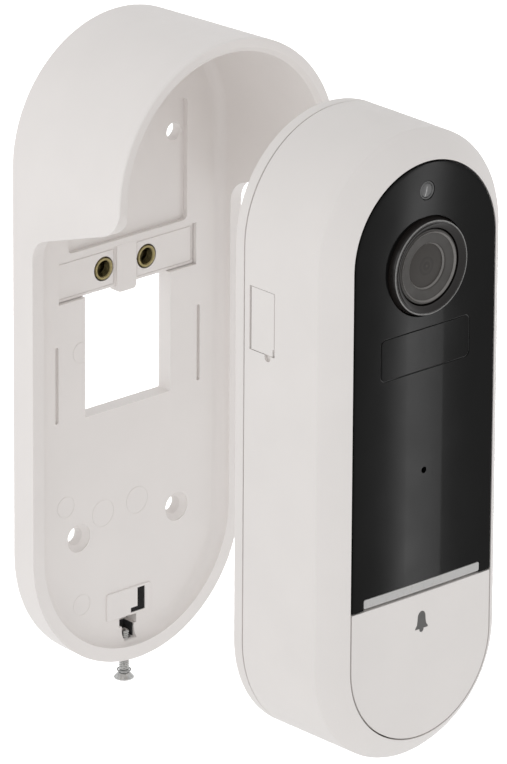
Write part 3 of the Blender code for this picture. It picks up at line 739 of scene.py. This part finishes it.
def terminal_block():
    """Two pads either side of a prouder rib, with a shallow step round each pad's edge."""
    block = soft_box("terminal_block_skin", TERMINAL[0], (1.1, 3.0), TERMINAL[1], WALL, 0.5, 0.18)
    rib_sides = [(-2.9, 22.2), (-2.9, 11.5)] + arc((-1.9, 11.9), 1.0, 180, 270, 5)[1:]
    rib = rib_sides + [(-x, z) for x, z in reversed(rib_sides)]
    join(block, face_prism("terminal_rib", rib, (1.2, 3.6), WALL))
    holes = []
    for side in (-1, 1):
        holes.append(rod(f"insert_hole_{side}", "F", (side * CONTACT_X, CONTACT_Z), (0.0, 5.0), 2.9, WALL))
        xs = sorted((side * 3.3, side * (TERMINAL[0][1] - 0.5)))
        zs = grown(TERMINAL[1], -0.7)
        outline = face_prism(f"pad_outline_{side}", rounded_rectangle(xs, zs, 0.5), (2.82, 4.0), WALL)
        cut(outline, face_prism("pad_middle", rounded_rectangle(grown(xs, -0.22), grown(zs, -0.22), 0.35),
                                (2.5, 5.0), WALL))
        holes.append(outline)
    cut(block, *holes)
    soften(block, 0.08, 50, 2)
    settle(block, "mount", "white_plastic", ["terminal_block"], material="white_plastic_mount")


def brass_insert(word, x):
    """Press-in insert: a knurled rim round a threaded bore with a blind end, the bore in a darker brass as
    painted shade inside the hole.
    """
    steps = 72
    teeth = 36
    pitch = 0.5

    def knurled(radius):
        return lambda angle: radius - 0.09 * (0.5 - 0.5 * math.cos(teeth * angle))

    rim = [(2.7, 1.1), (knurled(2.7), 2.75), (knurled(2.62), 2.95), (2.5, 3.12), (2.05, 3.12), (1.85, 2.9),
           (1.85, 1.1)]
    spot = (x, CONTACT_Z)
    nodes = [f"brass_insert_{word}"]
    insert = revolve(f"brass_insert_{word}_skin", rim, "F", spot, WALL, steps, closed=True)
    settle(insert, "mount", "brass", nodes, 40)

    thread = []
    turns = 28
    for k in range(turns + 1):
        along = 2.95 - 1.7 * k / turns
        thread.append((thread_ring(1.64, -0.2, along / pitch), along))
    # The bore's darker brass is painted shade inside the hole.
    bore = revolve(f"brass_insert_{word}_bore", thread, "F", spot, WALL, steps, capped=True)
    settle(bore, "mount", "brass", nodes, 40, material="bore_brass")


def tamper_magnet():
    magnet = face_prism("tamper_magnet_skin", magnet_outline(0.06), (3.95, 4.2), WALL)
    soften(magnet, 0.06, 50, 2)
    settle(magnet, "mount", "magnet", ["tamper_magnet"])


def lock_screw():
    """Countersunk machine screw with a cross recess in its head."""
    neck = SCREW_HEAD_Z + 1.6
    head = [(0.0, SCREW_HEAD_Z + 0.06), (1.4, SCREW_HEAD_Z + 0.02), (2.25, SCREW_HEAD_Z),
            (2.34, SCREW_HEAD_Z + 0.1), (2.34, SCREW_HEAD_Z + 0.3), (1.35, neck - 0.12), (1.17, neck),
            (1.15, neck + 0.6)]
    tip = [(0.75, SCREW_TIP_Z - 0.05), (0.0, SCREW_TIP_Z)]
    screw = threaded("lock_screw_skin", (neck + 0.7, SCREW_TIP_Z - 0.35), SCREW_RADIUS - 0.01, 0.24,
                     SCREW_PITCH, "Z", (0.0, SCREW_DEPTH), WALL, (head, tip))
    arms = []
    depth = (SCREW_HEAD_Z - 1.0, SCREW_HEAD_Z + 1.0)
    for number in range(2):
        arm = [(SCREW_SLOT_RADIUS, 0.3), (-SCREW_SLOT_RADIUS, 0.3), (-SCREW_SLOT_RADIUS, -0.3),
               (SCREW_SLOT_RADIUS, -0.3)]
        if number:
            arm = [(-z, x) for x, z in arm]
        arms.append(top_prism(f"cross_{number}", [(x, SCREW_DEPTH + f) for x, f in arm], depth, WALL))
    cut(screw, *arms)
    settle(screw, "locking_screw", "zinc_steel", ["lock_screw"], 35)


def notch_shade_sheet():
    """Dark sheet in the notch, painted shade for the hollow round the screw's tip: a floor and two cheeks
    that let the tip in.
    """
    shade_sheet = box("screw_notch_shade_sheet", both_sides(1.84), (0.47, 3.6), (-73.58, -70.45), WALL)
    cut(shade_sheet, box("shade_sheet_way", both_sides(1.62), (0.62, 5.0), (-75.0, -70.0), WALL))
    soften(shade_sheet, 0.05, 50, 2)
    settle(shade_sheet, "mount", "rubber", ["mount_shell"])


def screw_washer():
    low = node_span("screw_washer", 2)[0] - CENTRE_HEIGHT
    high = low + 0.35
    profile = [(1.6, high), (1.7, high - 0.1), (1.7, low + 0.1), (1.6, low), (1.42, low), (1.42, high)]
    washer = revolve("screw_washer_skin", profile, "Z", (0.0, SCREW_DEPTH), WALL, 48, closed=True)
    settle(washer, "screw_carrier", "nylon", ["screw_washer"])


# ---------------------------------------------------------------- unit outside

def face_depth(radius):
    """Front surface: a slight crown, then the frame, which falls away to a crease at the side."""
    crown = FACE_CROWN * min(radius, FRAME_START) ** 2 / FRAME_START ** 2
    out = max(0.0, radius - FRAME_START) / (UNIT_RADIUS - FRAME_START)
    return FACE_DEPTH - crown - (FACE_DEPTH - EDGE_START - crown) * (0.66 * out + 0.34 * out ** 2)


def edge_stations(first_radius, last_radius, steps=EDGE_STEPS):
    """Section of the front surface between two radii, from the outer one to the inner."""
    stations = []
    for k in range(steps + 1):
        radius = first_radius + (last_radius - first_radius) * k / steps
        stations.append((radius, face_depth(radius)))
    return stations


def front_stations(radius, back):
    """Section of a piece of the front: flat back, straight side, small round edge, front surface."""
    edge = 0.16
    top = face_depth(radius - edge)
    stations = [(radius - 0.1, back), (radius, back + 0.1)]
    for k in range(4):
        angle = math.radians(30 * k)
        stations.append((radius - edge + edge * math.cos(angle), top - edge + edge * math.sin(angle) * 0.98))
    return stations + edge_stations(radius - edge, 5.0)[1:]


def front_envelope(name):
    return stadium_solid(name, [(UNIT_RADIUS, 20.0)] + edge_stations(UNIT_RADIUS, 5.0), UNIT)


def half_unit(name, zs):
    return box(name, both_sides(30), (0.0, 40.0), zs, UNIT)


def front_housing():
    seat = FRAME_START
    side = UNIT_RADIUS
    lip = 0.14
    crease = 0.22
    low = face_depth(side)
    stations = [(side - 0.35, PARTING), (side - 0.08, PARTING + 0.02), (side, PARTING + 0.12),
                (side, low - crease), (side - 0.03, low - 0.1), (side - 0.1, low + 0.05)]
    stations += edge_stations(side - crease, seat + lip)
    top = face_depth(seat + lip)
    stations += [(seat + lip * 0.3, top - lip * 0.25), (seat, top - lip), (seat, PANEL_SEAT)]
    housing = stadium_solid("front_housing_skin", stations, UNIT)
    inner = UNIT_RADIUS - 2.0
    cut(housing, stadium_solid("hollow", [(inner, 0.0), (inner, 21.5), (inner - 1.2, 24.6),
                                          (inner - 4.0, 26.7)], UNIT, ARC_STEPS - 3))
    dip_radius = PANEL_RADIUS + 0.2
    dip = stadium_solid("button_dip", [(dip_radius, PANEL_SEAT - 0.6), (dip_radius, PANEL_SEAT + 0.3)],
                        UNIT, ARC_STEPS - 1)
    keep_inside(dip, half_unit("button_side", (-90.0, SPLIT_Z)))
    cut(housing, dip)

    fs, zs = PORT_COVER
    join(housing, box("port_block", (-26.0, -22.9), (4.1, 14.4), (21.6, 39.6), UNIT))
    f, z = USB_PLACE
    cutters = [
        box("port_recess", (-30.0, -25.0), (fs[0] - 0.15, fs[1] + 0.26), grown(zs, 0.14), UNIT),
        side_prism("socket_slot", rounded_rectangle(grown((f, f), 1.93), grown((z, z), 4.75), 1.85),
                   (-30.0, -20.0), UNIT),
        rod("reset_hole", "X", RESET_PLACE, (-30.0, -20.0), 1.3, UNIT),
    ]
    walls = (25.0, 30.0)
    holes = [((0.0, LENS_Z), LENS_RADIUS + GAP), ((0.0, sum(PIR_SIDES[1]) / 2), 4.6),
             ((0.0, LIGHT_SENSOR_Z), 2.4), ((0.0, MICROPHONE_Z), 0.8), ((0.0, BUTTON_Z), 3.2)]
    for side in (-1, 1):
        holes += [((side * 9.0, -31.1), 1.2), ((side * 15.6, LENS_Z), 1.9)]
    for number, (spot, radius) in enumerate(holes):
        cutters.append(rod(f"hole_{number}", "F", spot, walls, radius, UNIT))
    for number in range(-2, 3):
        outline = rounded_rectangle(grown((number * 2.4, number * 2.4), 0.5), (9.5, 16.5), 0.48)
        cutters.append(top_prism(f"speaker_slot_{number}", outline, (-76.0, -69.0), UNIT))
    cut(housing, *cutters)
    cut(housing, rod("finger_scoop", "X", (10.7, 22.75), (-30.0, -26.0), 0.95, UNIT))
    settle(housing, "unit", "white_plastic", ["front_housing"])


def front_panel():
    panel = stadium_solid("front_panel_skin", front_stations(PANEL_RADIUS, 28.8), UNIT)
    keep_inside(panel, half_unit("panel_side", (SPLIT_Z, 90.0)))
    through = (25.0, 40.0)
    notch = rounded_rectangle(grown(LIGHT_BAR[0], 0.16), (SPLIT_Z - 2.0, LIGHT_BAR[1][1] + 0.16), 0.5)
    xs, zs = PIR_SIDES
    cutters = [
        face_prism("light_bar_notch", notch, through, UNIT),
        rod("lens_hole", "F", (0.0, LENS_Z), through, LENS_RADIUS + 0.12, UNIT, 96),
        rod("sensor_hole", "F", (0.0, LIGHT_SENSOR_Z), through, 2.2, UNIT, 48),
        rod("sound_hole", "F", (0.0, MICROPHONE_Z), through, 0.75, UNIT, 32),
        face_prism("pir_opening", rounded_rectangle(grown(xs, 0.2), grown(zs, 0.2), 1.4), through, UNIT),
    ]
    cut(panel, *cutters)
    soften(panel, 0.1, 55, 2)
    settle(panel, "unit", "panel_black", ["front_panel"], 22)


def front_windows():
    xs, zs = PIR_SIDES
    window = face_prism("pir_window_skin", rounded_rectangle(xs, zs, 1.25, 8), (29.0, 38.0), UNIT)
    keep_inside(window, front_envelope("window_surface"))
    soften(window, 0.12, 50, 3)
    settle(window, "unit", "black_gloss", ["pir_window"], 22, material="panel_black")
    seal = face_prism("pir_window_edge", rounded_rectangle(grown(xs, 0.19), grown(zs, 0.19), 1.4, 8),
                      (29.0, FACE_DEPTH - 0.24), UNIT)
    cut(seal, face_prism("edge_inside", rounded_rectangle(grown(xs, 0.02), grown(zs, 0.02), 1.26, 7),
                         (28.0, 38.0), UNIT))
    settle(seal, "unit", "black_gloss", ["pir_window"], material="window_edge")

    section = [(0.0, 31.98), (0.9, 31.94), (1.5, 31.86), (1.66, 31.72), (1.8, 31.98), (2.0, 32.05),
               (2.08, 31.95), (2.08, 21.4), (0.0, 21.4)]
    pipe = revolve("light_pipe_skin", section, "F", (0.0, LIGHT_SENSOR_Z), UNIT, 48)
    settle(pipe, "unit", "optic_glass", ["light_pipe"], 30, material="sensor_glass")

    bar = face_prism("light_bar_skin", rounded_rectangle(*LIGHT_BAR, 0.45), (28.9, 38.0), UNIT)
    keep_inside(bar, front_envelope("bar_surface"))
    soften(bar, 0.1, 50, 2)
    settle(bar, "unit", "smoked_clear", ["light_bar"], 22)


def bell_outline(middle, size):
    """Plain bell: a dome, a flared rim, and a clapper under it."""
    cx, cz = middle
    right = []
    for k in range(9):
        angle = math.radians(90 - 80 * k / 8)
        right.append((0.62 * math.cos(angle), 0.55 + 0.75 * math.sin(angle)))
    right += [(0.66, 0.1), (0.74, -0.35), (1.0, -0.72), (1.0, -0.88), (0.34, -0.88)]
    for k in range(5):
        angle = math.radians(-90 * k / 4)
        right.append((0.34 * math.cos(angle), -0.98 + 0.34 * math.sin(angle)))
    left = [(-x, z) for x, z in reversed(right)]
    outline = right + [point for point in left if point[0] < -1e-6]
    return [(cx + size * x, cz + size * z) for x, z in outline]


def push_button():
    """Button cap with a printed bell set into it."""
    cap = stadium_solid("button_cap_skin", front_stations(PANEL_RADIUS, 28.9), UNIT)
    keep_inside(cap, half_unit("cap_side", (-90.0, SPLIT_Z - SPLIT_GAP)))
    join(cap, rod("actuator", "F", (0.0, BUTTON_Z), (27.2, 29.4), 2.6, UNIT))
    bell = bell_outline((0.0, -39.6), 1.9)
    cut(cap, face_prism("bell_pocket", bell, (FACE_DEPTH - 0.35, FACE_DEPTH + 1.0), UNIT))
    soften(cap, 0.1, 55, 2)
    settle(cap, "push_button", "white_plastic", ["button_cap"], 22)
    inlay = face_prism("button_bell_print", bell, (FACE_DEPTH - 0.6, FACE_DEPTH - 0.13), UNIT)
    settle(inlay, "push_button", "black_plastic", ["button_cap"], material="printed_grey")


def port_cover():
    x = node_span("port_cover", 0)[0] + PORT_COVER_THICKNESS / 2
    half = PORT_COVER_THICKNESS / 2
    f = PORT_COVER[0][0] + half
    front = PORT_COVER[0][1]
    inside = arc((x, f), half, 180, 360, 16)
    outline = inside + [(x + half, front - 0.1), (x + half - 0.1, front), (x - half + 0.3, front),
                        (x - half + 0.09, front - 0.09), (x - half, front - 0.3)]
    cover = top_prism("port_cover_skin", outline, PORT_COVER[1], UNIT)
    low = PORT_COVER[1][0]
    cut(cover, rod("nail_notch", "Z", (x - half, front + 0.45), (low - 1, low + 1.6), 0.9, UNIT))
    soften(cover, 0.1, 50, 2)
    settle(cover, "port_flap", "white_plastic", ["port_cover"])


# ---------------------------------------------------------------- camera window

def lens():
    spot = (0.0, LENS_Z)
    bezel = [(10.12, 33.66), (10.4, 33.7), (10.6, 33.64), (10.72, 33.46), (11.28, 32.0), (11.28, 27.1),
             (8.8, 27.1), (8.8, 32.95)]
    for k in range(1, 8):
        t = k / 8
        bezel.append((8.8 + 1.32 * t, 32.95 + 0.71 * t ** 1.6))
    skin = revolve("lens_bezel_skin", bezel, "F", spot, UNIT, 128, closed=True)
    settle(skin, "unit", "black_gloss", ["lens_bezel"], 35)
    edge = [(10.52, 33.76), (10.64, 33.72), (10.7, 33.6), (10.6, 33.56), (10.44, 33.62), (10.44, 33.72)]
    trim = revolve("lens_trim_ring", edge, "F", spot, UNIT, 128, closed=True)
    settle(trim, "unit", "black_gloss", ["lens_bezel"], 50, material="lens_trim_edge")

    retainer = [(8.05, 32.86), (8.3, 32.84), (8.46, 32.7), (8.46, 30.5), (5.25, 30.5), (5.25, 32.32),
                (5.4, 32.42), (5.6, 32.44), (7.4, 32.62), (7.6, 32.66), (7.75, 32.8), (7.9, 32.86)]
    disc = revolve("lens_retainer_skin", retainer, "F", spot, UNIT, 128, closed=True)
    settle(disc, "unit", "lens_grey", ["lens_retainer"], 35)

    # Two step rings in a light grey as painted glints: lighter than the parts round them, so the lamps draw
    # bright arcs where they face the light.
    for number, (radius, f) in enumerate(((4.98, 31.85), (7.62, 32.7))):
        step = [(radius + 0.3, f + 0.4), (radius + 0.34, f + 0.36), (radius + 0.34, f + 0.1),
                (radius, f - 0.05), (radius - 0.04, f)]
        glint = revolve(f"lens_step_{number}", step, "F", spot, UNIT, 128, closed=True)
        settle(glint, "unit", "lens_grey", ["lens_retainer"], 50, material="lens_step")

    glass = [(0.0, 32.2)]
    for k in range(1, 13):
        radius = 4.86 * k / 12
        glass.append((radius, 32.2 - 0.36 * (radius / 4.86) ** 2))
    glass += [(4.92, 31.75), (4.92, 30.65), (0.0, 30.65)]
    element = revolve("lens_element_skin", glass, "F", spot, UNIT, 96)
    settle(element, "unit", "optic_glass", ["lens_element"], 35, material="lens_glass")


# ---------------------------------------------------------------- unit back and carried parts

def rear_cover():
    edge = 0.6
    stations = []
    for k in range(6):
        angle = math.radians(18 * k)
        stations.append((UNIT_RADIUS - edge + edge * math.sin(angle), edge - edge * math.cos(angle)))
    stations += [(UNIT_RADIUS, PARTING - 0.5), (UNIT_RADIUS - 0.08, PARTING - 0.33),
                 (UNIT_RADIUS - 0.3, PARTING - 0.25)]
    cover = stadium_solid("rear_cover_skin", stations, UNIT)
    cut(cover, stadium_solid("cover_hollow", [(24.6, 2.2), (24.6, 4.0)], UNIT, ARC_STEPS - 1))
    hook = soft_box("lock_hook", both_sides(2.3), (HOOK_BACK, 0.6), (-70.1, -68.5), UNIT, 0.15, 0.1)
    join(cover, hook)
    pad = rounded_rectangle(both_sides(7.0), (-68.3, -60.9), 0.6)
    label = rounded_rectangle(both_sides(15.0), (-46.0, -12.0), 1.5)
    cutters = [rod("hook_hole", "Z", (0.0, SCREW_DEPTH - UNIT_SEAT), (-70.8, -67.8), 1.35, UNIT),
               face_prism("pad_recess", pad, (-1.0, 0.8), UNIT),
               face_prism("label_recess", label, (-1.0, 0.12), UNIT)]
    for side in (-1, 1):
        cutters.append(rod(f"contact_hole_{side}", "F", (side * CONTACT_X, CONTACT_Z), (-1, 4), 1.45, UNIT))
        for height in (-1, 1):
            bore = [(0.0, 4.0), (1.25, 4.0), (1.25, 1.4), (2.2, 1.4), (2.2, 0.15), (2.35, -0.1),
                    (2.35, -1.0), (0.0, -1.0)]
            spot = (side * COVER_SCREW_X, height * COVER_SCREW_Z)
            cutters.append(revolve(f"screw_hole_{side}_{height}", bore, "F", spot, UNIT, 40))
    cut(cover, *cutters)
    settle(cover, "unit", "white_plastic", ["rear_cover"])


def contacts_and_screws():
    for side, word in ((-1, "left"), (1, "right")):
        pin = [(0.0, 5.85), (1.05, 5.85), (1.05, 3.5), (1.85, 3.5), (1.85, 2.52), (1.08, 2.5), (1.08, -1.9)]
        for k in range(7):
            angle = math.radians(15 * k)
            pin.append((1.08 * math.cos(angle), -1.9 - 0.78 * math.sin(angle)))
        pin[-1] = (0.0, pin[-1][1])
        piece = revolve(f"contact_pin_{word}_skin", pin, "F", (side * CONTACT_X, CONTACT_Z), UNIT, 40)
        settle(piece, "unit", "brass", [f"contact_pin_{word}"], 35)
        for height, row in ((-1, "lower"), (1, "upper")):
            cover_screw(f"cover_screw_{row}_{word}", (side * COVER_SCREW_X, height * COVER_SCREW_Z))


def cover_screw(node, spot):
    """Pan head self-tapping screw, seen from its head in the back of the unit."""
    head = [(0.0, 0.3), (1.3, 0.27), (1.75, 0.36), (1.88, 0.6), (1.88, 1.1), (0.95, 1.14), (0.94, 1.3)]
    screw = threaded(f"{node}_skin", (1.4, 8.3), 0.94, 0.16, 0.8, "F", spot, UNIT,
                     (head, [(0.6, 8.75), (0.0, 8.98)]), 24)
    arms = []
    for number, (width, height) in enumerate(((1.0, 0.22), (0.22, 1.0))):
        arms.append(box(f"cross_{number}", grown((spot[0], spot[0]), width), (-0.5, 0.85),
                        grown((spot[1], spot[1]), height), UNIT))
    cut(screw, *arms)
    settle(screw, "unit", "zinc_steel", [node], 35)


def carried_parts():
    """Parts inside the unit keep their CAD shape, with softened edges and their own materials."""
    slots = {row["node"]: row["material_slot"] for row in frame["record"]["subparts"]}
    for node, obj in frame["nodes"].items():
        if obj.hide_render:
            continue
        obj.data.materials.clear()
        obj.data.materials.append(MATERIAL[slots[node]])
        edges = obj.modifiers.new("soft_edges", "BEVEL")
        edges.width = 0.08 * MM
        edges.segments = 2
        edges.limit_method = "ANGLE"
        edges.angle_limit = math.radians(50)


# ---------------------------------------------------------------- stage

def camera():
    turn, rise = math.radians(CAMERA_TURN), math.radians(CAMERA_RISE)
    toward = Vector((-math.sin(turn) * math.cos(rise), -math.cos(turn) * math.cos(rise), math.sin(rise)))
    right = Vector((math.cos(turn), -math.sin(turn), 0.0))
    up = toward.cross(right)
    data = bpy.data.cameras.new("camera")
    data.lens = CAMERA_LENS
    data.sensor_width = 36.0
    data.clip_start = 0.05
    data.clip_end = 50.0
    view = bpy.data.objects.new("camera", data)
    bpy.context.scene.collection.objects.link(view)
    middle = place(0.0, 0.0, 0.0, WALL)
    spot = middle + (toward * CAMERA_DISTANCE + right * CAMERA_RIGHT - up * CAMERA_DOWN) * MM
    axes = Matrix((right, up, toward)).transposed().to_4x4()
    roll = Matrix.Rotation(math.radians(CAMERA_ROLL), 4, "Z")
    view.matrix_world = Matrix.Translation(spot) @ axes @ roll
    bpy.context.scene.camera = view


def area_light(name, spot, target, size, energy):
    data = bpy.data.lights.new(name, "AREA")
    data.shape = "RECTANGLE"
    data.size, data.size_y = size
    data.energy = energy
    light = bpy.data.objects.new(name, data)
    bpy.context.scene.collection.objects.link(light)
    light.location = spot
    light.visible_camera = False
    light.rotation_euler = (Vector(target) - Vector(spot)).to_track_quat("-Z", "Y").to_euler()
    return light


def fade_toward(tree, axis, start, end):
    """Colour that goes from one value to another as a direction turns toward an axis.

    start and end are each (how far the direction points along the axis, colour).
    """
    along = tree.nodes.new("ShaderNodeVectorMath")
    along.operation = "DOT_PRODUCT"
    along.inputs[1].default_value = axis
    tree.links.new(tree.nodes.new("ShaderNodeTexCoord").outputs["Generated"], along.inputs[0])
    fade = tree.nodes.new("ShaderNodeValToRGB")
    for element, (position, colour) in zip(fade.color_ramp.elements, (start, end)):
        element.position, element.color = position, (*colour, 1.0)
    tree.links.new(along.outputs["Value"], fade.inputs["Fac"])
    return fade.outputs["Color"]


def sky():
    """Studio surround: bright at the sides, dimmer overhead and in front."""
    world = bpy.data.worlds.new("studio")
    bpy.context.scene.world = world
    world.use_nodes = True
    tree = world.node_tree
    both = tree.nodes.new("ShaderNodeVectorMath")
    both.operation = "MULTIPLY"
    bluish_top = (TOP_LEVEL, TOP_LEVEL, TOP_LEVEL * 1.005)
    overhead = fade_toward(tree, (0.0, 0.0, 1.0), (0.0, [SIDE_LEVEL] * 3), (0.85, bluish_top))
    ahead = fade_toward(tree, (0.0, -1.0, 0.0), (0.2, [1.0] * 3), (0.8, [FRONT_LEVEL] * 3))
    tree.links.new(overhead, both.inputs[0])
    tree.links.new(ahead, both.inputs[1])
    tree.links.new(both.outputs["Vector"], tree.nodes["Background"].inputs["Color"])
    tree.nodes["Background"].inputs["Strength"].default_value = 1.0


def studio():
    bpy.context.scene.view_settings.view_transform = "Standard"
    sky()
    bm = bmesh.new()
    bmesh.ops.create_grid(bm, x_segments=1, y_segments=1, size=6.0)
    floor = mesh_object("studio_floor", bm)
    floor.location.z = -FLOOR_DROP * MM
    surface = Surface("studio_floor", (0.93, 0.93, 0.93), 0.9)
    surface.vary_roughness(surface.noise(60.0, 2.0), 0.85, 0.95)
    surface.set(Specular_IOR_Level=0.1, Emission_Color=(1.0, 1.0, 1.0, 1.0), Emission_Strength=FLOOR_GLOW)
    floor.data.materials.append(surface.material)

    middle = (0.0, -0.05, 0.03)
    area_light("left_softbox", (-1.17, -0.1, 0.42), middle, (0.8, 0.8), 1.5)
    area_light("strip_softbox", (0.38, -0.51, -0.135), (0.0, -0.1, 0.03), (0.02, 0.21), 0.095)
    pool = area_light("background_softbox", (0.85, 0.90, 0.15), (0.85, 0.90, -0.42), (0.8, 0.8), 3.0)
    pool.data.spread = math.radians(100)


def build():
    mount_shell()
    terminal_block()
    brass_insert("left", -CONTACT_X)
    brass_insert("right", CONTACT_X)
    tamper_magnet()
    lock_screw()
    notch_shade_sheet()
    screw_washer()
    front_housing()
    front_panel()
    front_windows()
    push_button()
    port_cover()
    lens()
    rear_cover()
    contacts_and_screws()
    carried_parts()
    camera()
    studio()


build()
